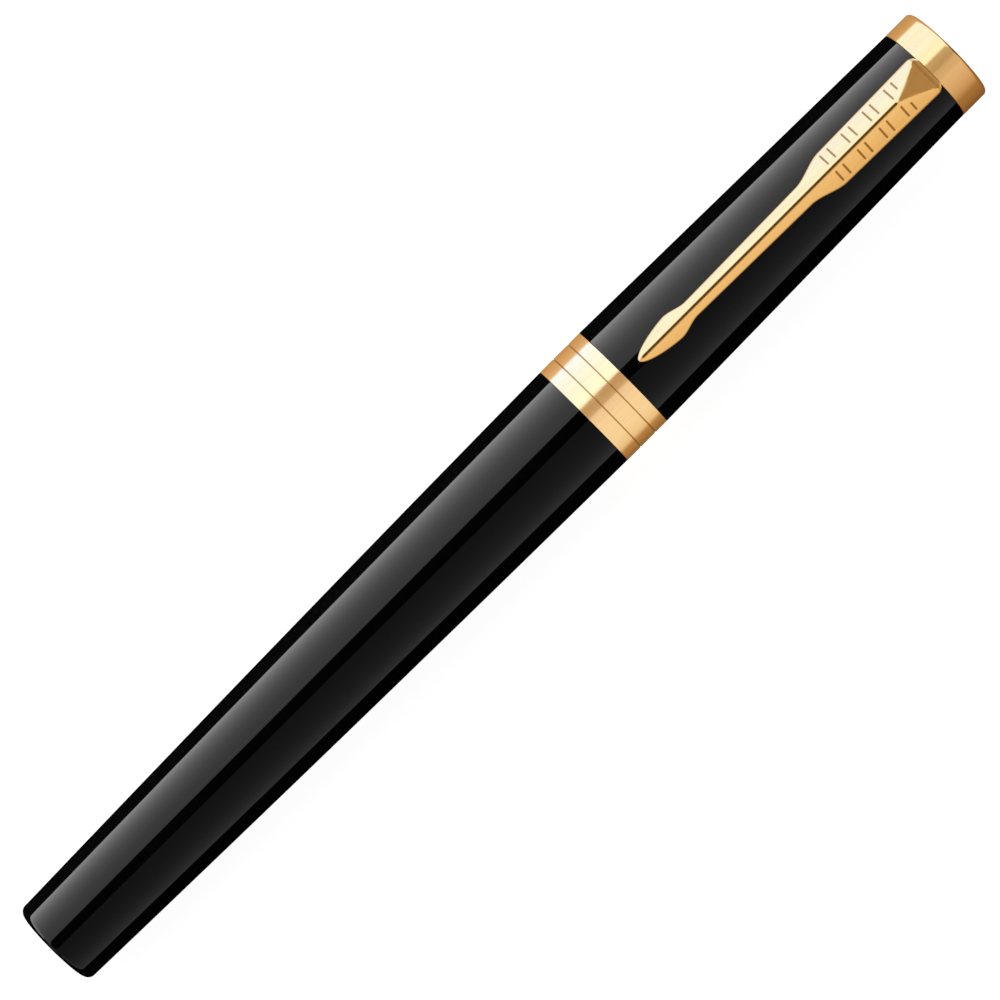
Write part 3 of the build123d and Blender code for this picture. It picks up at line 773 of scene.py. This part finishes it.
# Plan: a leaf-shaped tip, a slim shaft and a wide blade with rounded corners
CLIP_TIP = 90.0
LEAF, LEAF_HALF = 95.2, 1.57
NECK, NECK_HALF = 98.0, 1.02
SHAFT_END, SHAFT_END_HALF = 115.0, 1.27
BLADE, BLADE_HALF = 119.6, 2.27
CLIP_END, CLIP_END_HALF = 134.25, 2.5
CLIP_CORNER = 0.95
# Heights from the pen's axis
RIDGE = (Vector((85.0, 7.25)), Vector((106.0, 8.62)), Vector((139.1, 8.5)))
PAD = ((90.0, 7.09), (92.2, 6.84), (94.2, 6.84), (97.5, 7.3))  # the tip comes down close to the cap
UNDERSIDE = (*PAD, (127.9, 6.9), (129.4, 6.4), (134.3, 6.4))
FACET_SLOPE = tan(radians(26))
FACET_CURVE = 0.0274  # how the facets steepen towards the edges, per mm
CREST = 0.05  # the ridge's softness
CLIP_EDGE = 0.15  # the rounding of the clip's upper edges
LOW_EDGE = 0.08  # and of its lower ones
HIP = 129.5
HIP_START = 0.12  # half the width of the hip's face just behind its point
HIP_SPREAD = 0.4  # how fast it widens
HIP_FLARE = 0.0038  # and how much faster towards the corners
# Plain cuts: a line along the ridge and pairs of short cross lines on the blade
RIDGE_LINE_HALF, RIDGE_LINE_DEPTH = 0.2, 0.08
# The cuts are painted dark, as the shade in them: how dark the ridge line and the cross lines are
RIDGE_LINE_DARK, LINE_DARK = 1.6, 0.7
LINE_HALF, LINE_DEPTH = 0.18, 0.1
LINES = [119.4 + 3.3 * pair + second for pair in range(4) for second in (0, 1.1)]
LINE_INNER = 0.5  # from the ridge
LINE_OUTER = 0.35  # from the edge
LINE_FADE = 0.15
END_LINES = ((133.72, 0.24, 0.3), (134.25, 0.1, 0.9))  # place, half width and darkness of two painted dark lines: a faint one just inside the clip's end, and a painted shadow where the end meets the crown


def ease(share):
    """A share of 0 to 1, eased at both ends."""
    share = min(1, max(0, share))
    return share * share * (3 - 2 * share)


def half_width(distance):
    """Half the clip's width."""
    if distance < LEAF:
        back = (LEAF - distance) / (LEAF - CLIP_TIP)
        return LEAF_HALF * (1 - back**1.4) ** 0.52
    if distance < NECK:
        return LEAF_HALF + (NECK_HALF - LEAF_HALF) * ease((distance - LEAF) / (NECK - LEAF))
    if distance < SHAFT_END:
        return NECK_HALF + (SHAFT_END_HALF - NECK_HALF) * (distance - NECK) / (SHAFT_END - NECK)
    if distance < BLADE:
        share = ease((distance - SHAFT_END) / (BLADE - SHAFT_END))
        return SHAFT_END_HALF + (BLADE_HALF - SHAFT_END_HALF) * share
    corner_from = CLIP_END - CLIP_CORNER
    share = min(1, (distance - BLADE) / (corner_from - BLADE))
    into_corner = min(CLIP_CORNER, max(0, distance - corner_from))
    pulled_in = CLIP_CORNER - sqrt(CLIP_CORNER**2 - into_corner**2)
    return BLADE_HALF + (CLIP_END_HALF - BLADE_HALF) * share - pulled_in


def arc_centre(first, middle, last):
    """The centre of the circle through three points."""
    a, b = middle - first, last - first
    turned_a, turned_b = Vector((-a.y, a.x)), Vector((-b.y, b.x))
    return first + (turned_b * a.length_squared - turned_a * b.length_squared) / (2 * turned_b.dot(a))


RIDGE_CENTRE = arc_centre(*RIDGE)
RIDGE_RADIUS = (RIDGE[0] - RIDGE_CENTRE).length


def ridge_height(distance):
    """The height of the ridge, which is one long arc."""
    return RIDGE_CENTRE.y + sqrt(RIDGE_RADIUS**2 - (distance - RIDGE_CENTRE.x) ** 2)


def underside(distance):
    """The height of the clip's underside."""
    for (start, low), (end, high) in zip(UNDERSIDE, UNDERSIDE[1:]):
        if distance <= end:
            return low + (high - low) * max(0, distance - start) / (end - start)


def hip_half(distance):
    """Half the width of the hip's sloping face."""
    behind = max(0, distance - HIP)
    opened = HIP_START * ease(behind / 0.15) + HIP_SPREAD * behind + HIP_FLARE * behind**3
    return min(opened, half_width(distance) - CLIP_EDGE - 0.12) if behind else 0


def cut_share(off, half):
    """How deep a rounded cut is, from 0 to 1, at a place off its middle."""
    return cos(pi / 2 * off / half) ** 2 if abs(off) < half else 0


def cuts(distance, across):
    """The depth of the cuts at a place, and how dark their painted shade is there."""
    along_ridge = cut_share(across, RIDGE_LINE_HALF)
    along_ridge *= ease((distance - CLIP_TIP - 0.3) / 0.6) * ease((HIP - 0.1 - distance) / 0.4)
    cross = max(cut_share(distance - line, LINE_HALF) for line in LINES)
    inner = abs(across) - hip_half(distance) - LINE_INNER
    outer = half_width(distance) - LINE_OUTER - abs(across)
    cross *= ease(inner / LINE_FADE) * ease(outer / LINE_FADE)
    # Painted shadow where the clip's end meets the crown, and a fainter dark line just inside the end
    end_shadow = max(dark * cut_share(distance - line, half) for line, half, dark in END_LINES)
    dark = max(end_shadow, min(1, RIDGE_LINE_DARK * along_ridge + LINE_DARK * cross))
    return along_ridge * RIDGE_LINE_DEPTH + cross * LINE_DEPTH, dark


def rolled(inside, edge):
    """How far the surface has rolled down at a distance inside an edge."""
    share = min(1, max(0, 1 - inside / edge))
    return 0.8 * edge * (1 - sqrt(1 - share * share))


def top_point(distance, across):
    """The height of the clip's top at a place and how dark its painted shade is there."""
    half, flat = half_width(distance), hip_half(distance)
    beyond = hypot(across, CREST) - flat
    off = flat + (beyond + hypot(beyond, CREST)) / 2
    height = ridge_height(distance) - FACET_SLOPE * off - FACET_CURVE * off**2
    height -= rolled(half - abs(across), min(CLIP_EDGE, half / 2))
    height -= rolled(min(distance - CLIP_TIP, CLIP_END - distance), CLIP_EDGE)
    depth, dark = cuts(distance, across)
    return height - depth, dark


def top_columns(distance):
    """Places from the ridge to the edge, close together where the surface turns."""
    half, flat = half_width(distance), hip_half(distance)
    edge = min(CLIP_EDGE, half / 2)
    near = [0, 0.5 * flat + 0.01, 0.95 * flat + 0.02] + [flat + 0.03 * step for step in range(1, 10)]
    squeeze = min(1, 0.6 * (half - edge) / near[-1])
    near = [place_off * squeeze for place_off in near]
    spread = [near[-1] + (half - edge - near[-1]) * step / 26 for step in range(1, 27)]
    roll = [half - edge * (1 - sin(radians(angle))) for angle in (15, 30, 45, 60, 75, 90)]
    return near + spread + roll


def clip_stations():
    """Places along the clip, close together where its shape turns."""
    places = [CLIP_TIP + 0.02 + (LEAF - CLIP_TIP) * (step / 40) ** 2 for step in range(1, 40)]
    stretches = (
        (LEAF, 0.3, 13),
        (NECK + 1, 0.8, 20),
        (SHAFT_END, 0.25, 17),
        (SHAFT_END + 4.25, 0.35, 29),
        (HIP - 0.18, 0.03, 18),
        (HIP + 0.4, 0.25, 13),
    )
    for first, gap, count in stretches:
        places += [first + gap * step for step in range(count)]
    places += [CLIP_END - CLIP_CORNER * (1 - sin(radians(angle))) for angle in range(0, 91, 5)]
    for line in LINES:
        places = [distance for distance in places if abs(distance - line) > LINE_HALF + 0.03]
        places += [line + LINE_HALF * step / 5 for step in range(-6, 7)]
    return sorted(places)


def clip_section(distance):
    """The clip's outline across the pen, as (across, up, dark) points."""
    columns = top_columns(distance)
    half, low = half_width(distance), underside(distance)
    edge = min(LOW_EDGE, half / 2)
    right = [(across, *top_point(distance, across)) for across in columns]
    wall = [(half, low + edge, 0), (half - 0.3 * edge, low + 0.3 * edge, 0), (half - edge, low, 0)]
    right += wall + [(0.5 * half, low, 0)]
    left = [(-across, up, dark) for across, up, dark in right]
    return right + [(0, low, 0)] + left[:0:-1]


def pocket_clip():
    """The clip, a skin drawn over its outlines, and the foot that goes into the cap."""
    bm = bmesh.new()
    # The darkness of the cuts goes to the material as painted shade
    dark_layer = bm.verts.layers.float.new("painted_shade")
    rings = []
    for distance in clip_stations():
        ring = []
        for across, up, dark in clip_section(distance):
            vert = bm.verts.new(place(distance, across, up))
            vert[dark_layer] = dark
            ring.append(vert)
        rings.append(ring)
    for ring, following in zip(rings, rings[1:]):
        for step in range(len(ring)):
            after = (step + 1) % len(ring)
            bm.faces.new((ring[step], ring[after], following[after], following[step]))
    bm.faces.new(rings[0])
    bm.faces.new(rings[-1])
    foot = box_mesh((FOOT_FROM, -FOOT_HALF, FOOT_LOW), (FOOT_TO, FOOT_HALF, FOOT_HIGH))
    foot_mesh = bpy.data.meshes.new("foot")
    bmesh.ops.bevel(foot, geom=foot.edges[:], offset=0.1 * MM, segments=2, profile=0.5, affect="EDGES")
    foot.to_mesh(foot_mesh)
    foot.free()
    bm.from_mesh(foot_mesh)
    return finish_mesh("pocket_clip", bm, "clip", "clip", "gold_plate", material="clip_gold")


pocket_clip()

# ---- Camera, floor and light -----------------------------------------------------------------

CAMERA_HEIGHT = 600.0
CAMERA_ALONG = 68.83
VIEW_WIDTH = 109.2  # how much of the pen's plane fits across the frame
SENSOR = 36.0
PEN_MIDDLE = 69.0
CARD_AWAY = 400.0  # the lights' distances from the pen's axis
SURROUND_AWAY = 470.0
SURROUND_GAP = 5.0  # from one kind of metal's surround to the next one's
CARD_HALF = 1400.0  # half the lengths of the lights along the pen
SURROUND_HALF = 2500.0
END_AWAY = 2400.0  # how far the lights beyond the pen's ends are from its middle
END_HALF = 460.0
END_RIM = 0.6  # how bright their rims are, compared with their middles
METAL_END_GLOW = (0.95, 0.9, 0.85)
BLACK_END_GLOW = (0.5, 0.5, 0.5)
FLOOR_R = 3000.0
# The floor slopes up past the barrel's end. It stops this far from the pen's middle on that side, so
# that it doesn't stand between a level camera and the pen
FLOOR_BEHIND = 250.0
BACKDROP_R = 4000.0


def camera():
    """A long lens straight above the pen, turned so that the pen runs from corner to corner."""
    data = bpy.data.cameras.new("camera")
    data.sensor_width = SENSOR
    data.lens = SENSOR * CAMERA_HEIGHT / VIEW_WIDTH
    data.clip_start = 0.05
    data.clip_end = 20
    made = bpy.data.objects.new("camera", data)
    made.location = place(CAMERA_ALONG, 0, CAMERA_HEIGHT)
    made.rotation_euler = (0, 0, radians(-45))
    bpy.context.scene.collection.objects.link(made)
    bpy.context.scene.camera = made


def glow_material(name):
    """Light from a face's own glow colour. It lets the light of what stands behind it through."""
    made = bpy.data.materials.new(name)
    made.use_nodes = True
    tree = made.node_tree
    tree.nodes.clear()
    glow = tree.nodes.new("ShaderNodeVertexColor")
    glow.layer_name = "glow"
    light = tree.nodes.new("ShaderNodeEmission")
    clear = tree.nodes.new("ShaderNodeBsdfTransparent")
    both = tree.nodes.new("ShaderNodeAddShader")
    end = tree.nodes.new("ShaderNodeOutputMaterial")
    tree.links.new(glow.outputs["Color"], light.inputs["Color"])
    tree.links.new(light.outputs["Emission"], both.inputs[0])
    tree.links.new(clear.outputs["BSDF"], both.inputs[1])
    tree.links.new(both.outputs["Shader"], end.inputs["Surface"])
    return made


def hidden_card(name, mesh):
    """A card that gives the light of its mesh's glow, out of the camera's sight."""
    card = bpy.data.objects.new(name, mesh)
    card.data.materials.append(glow_material(name))
    card.visible_camera = False
    card.visible_shadow = False
    bpy.context.scene.collection.objects.link(card)
    return card


def arc_light(name, away, from_deg, to_deg, half_length, glow_at):
    """A soft light bent round the pen's axis. Angles are from straight up, + towards +Y, and
    glow_at(angle) gives the light's colour there."""
    steps = round(to_deg - from_deg)
    mesh = bpy.data.meshes.new(name)
    points, faces, tones = [], [], []
    for step in range(steps + 1):
        angle = from_deg + (to_deg - from_deg) * step / steps
        across, up = away * sin(radians(angle)), away * cos(radians(angle))
        points += [place(PEN_MIDDLE + side * half_length, across, up) for side in (-1, 1)]
        tones += [(*glow_at(angle), 1)] * 2
        if step:
            faces.append((2 * step - 2, 2 * step - 1, 2 * step + 1, 2 * step))
    mesh.from_pydata(points, [], faces)
    glow = mesh.color_attributes.new("glow", "FLOAT_COLOR", "POINT")
    for entry, tone in zip(glow.data, tones):
        entry.color = tone
    return hidden_card(name, mesh)


def end_light(name, side, glow):
    """A round soft light far beyond one end of the pen, brightest in its middle. Only mirrors see it."""
    bm = bmesh.new()
    tone_layer = bm.verts.layers.float_color.new("glow")
    middle = bm.verts.new(place(PEN_MIDDLE + side * END_AWAY, 0, 0))
    middle[tone_layer] = (*glow, 1)
    rim = []
    for step in range(64):
        angle = 2 * pi * step / 64
        across, up = END_HALF * cos(angle), END_HALF * sin(angle)
        rim.append(bm.verts.new(place(PEN_MIDDLE + side * END_AWAY, across, up)))
        rim[-1][tone_layer] = (*(END_RIM * part for part in glow), 1)
    for vert, after in zip(rim, rim[1:] + rim[:1]):
        bm.faces.new((middle, vert, after))
    mesh = bpy.data.meshes.new(name)
    bm.to_mesh(mesh)
    card = hidden_card(name, mesh)
    card.visible_diffuse = False
    return card


def light_only(card, pieces, state="INCLUDE"):
    """Links the card's light to the pieces alone or, with EXCLUDE, to everything else."""
    group = bpy.data.collections.new(card.name + "_link")
    bpy.context.scene.collection.children.link(group)
    for piece in pieces:
        group.objects.link(piece)
    for entry in group.collection_objects:
        entry.light_linking.link_state = state
    card.light_linking.receiver_collection = group


def bright_glow(angle):
    """The bright side's card grows brighter towards the horizon."""
    value = 0.92 + 3.65 * (max(0, angle - 12) / 92) ** 2.3
    return value, value, value


def dim_glow(angle):
    """The shaded side's card is much weaker."""
    value = 0.15 + 0.38 * (max(0, -angle - 11) / 89) ** 2
    return value, value, value


# The studio as the metal mirrors it, which is warm at the rims and has a dark gap overhead: the colour of
# the light by its angle from straight up, + on the bright side
BAND_LIGHT = (
    (-150, (0.3, 0.19, 0.08)),
    (-116, (0.5, 0.33, 0.16)),
    (-104, (0.9, 0.85, 0.75)),
    (-75, (1.0, 1.02, 1.03)),
    (-35, (1.0, 1.0, 1.03)),
    (-12, (0.92, 0.9, 0.95)),
    (-10, (0.62, 0.53, 0.42)),
    (0, (0.58, 0.48, 0.37)),
    (12.5, (0.55, 0.44, 0.33)),
    (14.5, (1.2, 1.58, 2.0)),
    (53, (1.08, 1.53, 2.35)),
    (101, (1.03, 1.54, 2.9)),
    (106, (0.8, 0.66, 0.5)),
    (128, (0.7, 0.53, 0.35)),
    (152, (0.59, 0.38, 0.19)),
)
CROWN_LIGHT = (
    (-150, (0.25, 0.13, 0.04)),
    (-97, (0.4, 0.27, 0.13)),
    (-84, (0.6, 0.46, 0.3)),
    (-53, (0.78, 0.65, 0.52)),
    (-35, (0.8, 0.69, 0.56)),
    (-12, (0.66, 0.58, 0.46)),
    (-10, (0.53, 0.45, 0.32)),
    (12.5, (0.61, 0.53, 0.4)),
    (14.5, (1.2, 1.45, 1.6)),
    (53, (1.05, 1.38, 1.97)),
    (101, (1.07, 1.42, 1.95)),
    (106, (0.72, 0.55, 0.36)),
    (150, (0.55, 0.38, 0.2)),
)
CLIP_LIGHT = (
    (-150, (0.4, 0.3, 0.2)),
    (-90, (0.5, 0.4, 0.3)),
    (-64, (0.86, 0.77, 0.6)),
    (-52, (0.99, 0.95, 0.88)),
    (-20, (0.8, 0.7, 0.6)),
    (-10, (0.46, 0.37, 0.26)),
    (10, (0.46, 0.37, 0.26)),
    (20, (1.0, 1.4, 2.0)),
    (52, (1.08, 1.66, 2.8)),
    (64, (1.07, 1.61, 3.6)),
    (100, (0.9, 1.0, 1.2)),
    (150, (0.5, 0.4, 0.3)),
)
STEEL_LIGHT = [(angle, (sum(tone) / 3,) * 3) for angle, tone in BAND_LIGHT]  # without the tint


def blend(anchors):
    """A function of the angle that blends between a light's colour anchors."""

    def glow_at(angle):
        if angle <= anchors[0][0]:
            return anchors[0][1]
        for (start, low), (end, high) in zip(anchors, anchors[1:]):
            if angle <= end:
                share = (angle - start) / (end - start)
                return tuple(a + share * (b - a) for a, b in zip(low, high))
        return anchors[-1][1]

    return glow_at


def lights():
    """Plain cards light all that isn't metal. Each kind of metal has a surround of its own."""
    kinds = [materials[name] for name in ("gold_plate", "clip_gold", "brass", "steel")]
    metal = [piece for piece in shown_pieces() if piece.data.materials[0] in kinds]
    crown = [piece for piece in metal if piece.name.startswith("crown_cap")]
    clip = [piece for piece in metal if piece.name.startswith("pocket_clip")]
    grey = [piece for piece in metal if piece.data.materials[0] == materials["steel"]]
    others = [piece for piece in metal if piece not in crown + clip + grey]
    light_only(arc_light("bright_card", CARD_AWAY, 13, 100, CARD_HALF, bright_glow), metal, "EXCLUDE")
    light_only(arc_light("dim_card", CARD_AWAY, -97.5, -11, CARD_HALF, dim_glow), metal, "EXCLUDE")
    surrounds = (
        ("band_surround", BAND_LIGHT, others),
        ("crown_surround", CROWN_LIGHT, crown),
        ("clip_surround", CLIP_LIGHT, clip),
        ("steel_surround", STEEL_LIGHT, grey),
    )
    for index, (name, anchors, pieces) in enumerate(surrounds):
        away = SURROUND_AWAY + SURROUND_GAP * index
        light_only(arc_light(name, away, -180, 180, SURROUND_HALF, blend(anchors)), pieces)
    for side, end in ((-1, "barrel_end"), (1, "crown_end")):
        light_only(end_light(end + "_metal", side, METAL_END_GLOW), metal)
        light_only(end_light(end + "_black", side, BLACK_END_GLOW), metal, "EXCLUDE")


def stage_material(name, tone, glow):
    """A pale, matte surface with a faint mottle."""
    surface = Surface(name, 0.9, IOR=1.3)
    surface.colour(surface.grain((60, 60, 60)), tuple(0.97 * part for part in tone), tone)
    surface.shader.inputs["Emission Color"].default_value = (1, 1, 1, 1)
    surface.shader.inputs["Emission Strength"].default_value = glow
    return surface.material


def floor():
    """A pale floor that the pen lies on, touched by the band and by the barrel's end."""
    band_x = (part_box("cap_band")[0].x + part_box("cap_band")[1].x) / 2
    end_x = BARREL_END_X + BARREL_CORNER * MM
    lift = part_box("cap_band")[0].z
    slope = atan2(AXIS_Z - BARREL_END_R * MM - lift, band_x - end_x)
    bm = bmesh.new()
    bmesh.ops.create_circle(bm, cap_ends=True, segments=96, radius=FLOOR_R * MM)
    bmesh.ops.translate(bm, verts=bm.verts, vec=((FLOOR_R - FLOOR_BEHIND) * MM, 0, 0))
    bmesh.ops.rotate(bm, verts=bm.verts, matrix=Matrix.Rotation(slope, 3, "Y"))
    bmesh.ops.translate(bm, verts=bm.verts, vec=(0, 0, lift + band_x * tan(slope)))
    mesh = bpy.data.meshes.new("floor")
    bm.to_mesh(mesh)
    made = bpy.data.objects.new("floor", mesh)
    made.data.materials.append(stage_material("floor", (0.3, 0.3, 0.3), 0.95))
    made.visible_glossy = False
    made.visible_shadow = False
    bpy.context.scene.collection.objects.link(made)


def backdrop():
    """A white surround that only the camera sees."""
    bm = bmesh.new()
    bmesh.ops.create_uvsphere(bm, u_segments=48, v_segments=24, radius=BACKDROP_R * MM)
    mesh = bpy.data.meshes.new("backdrop")
    bm.to_mesh(mesh)
    made = bpy.data.objects.new("backdrop", mesh)
    made.data.materials.append(stage_material("backdrop", (0.9, 0.9, 0.9), 1.0))
    for kind in ("diffuse", "glossy", "shadow", "transmission"):
        setattr(made, "visible_" + kind, False)
    bpy.context.scene.collection.objects.link(made)


def world():
    """A black world, so that all light comes from the cards, and plain colours."""
    made = bpy.data.worlds.new("world")
    made.use_nodes = True
    made.node_tree.nodes["Background"].inputs["Color"].default_value = (0, 0, 0, 1)
    bpy.context.scene.world = made
    bpy.context.scene.view_settings.view_transform = "Standard"


camera()
lights()
floor()
backdrop()
world()
